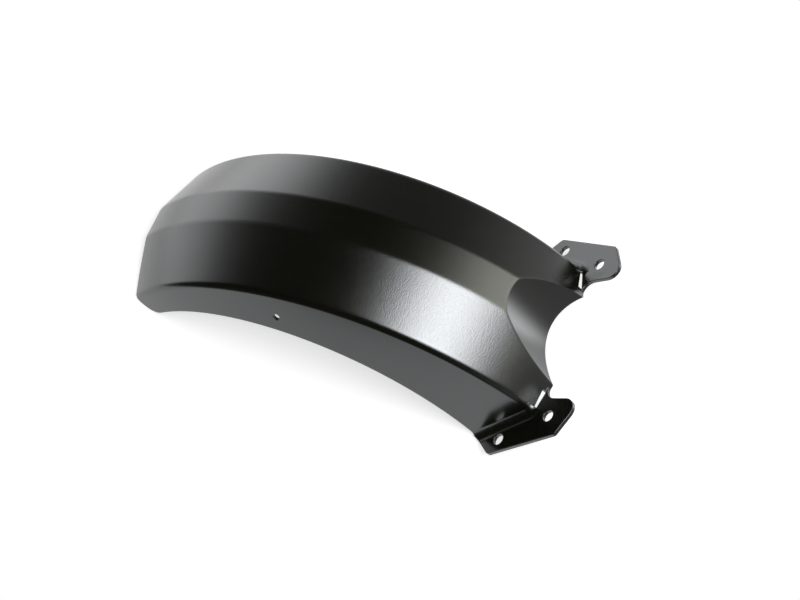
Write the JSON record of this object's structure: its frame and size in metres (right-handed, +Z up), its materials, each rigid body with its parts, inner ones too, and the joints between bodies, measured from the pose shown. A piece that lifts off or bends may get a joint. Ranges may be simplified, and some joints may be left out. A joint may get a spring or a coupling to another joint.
{
  "type": "motorcycle front fender",
  "caption": "Short one-piece moulded black plastic fender for a small wheel, with a faceted crown, an air scoop at one end and two bolt ears.",
  "frame": {"origin": "centre of the overall box, on the surface that the fender stands on", "axes": "+Z up, +X from the plain tail end towards the ears, +Y from the side with the small wall hole to the other side"},
  "size_m": [0.3681, 0.1914, 0.1111],
  "materials": {
    "black_plastic": "satin black moulded plastic with a fine grain"
  },
  "bodies": {
    "root": {"fender": "black_plastic"}
  },
  "joints": []
}
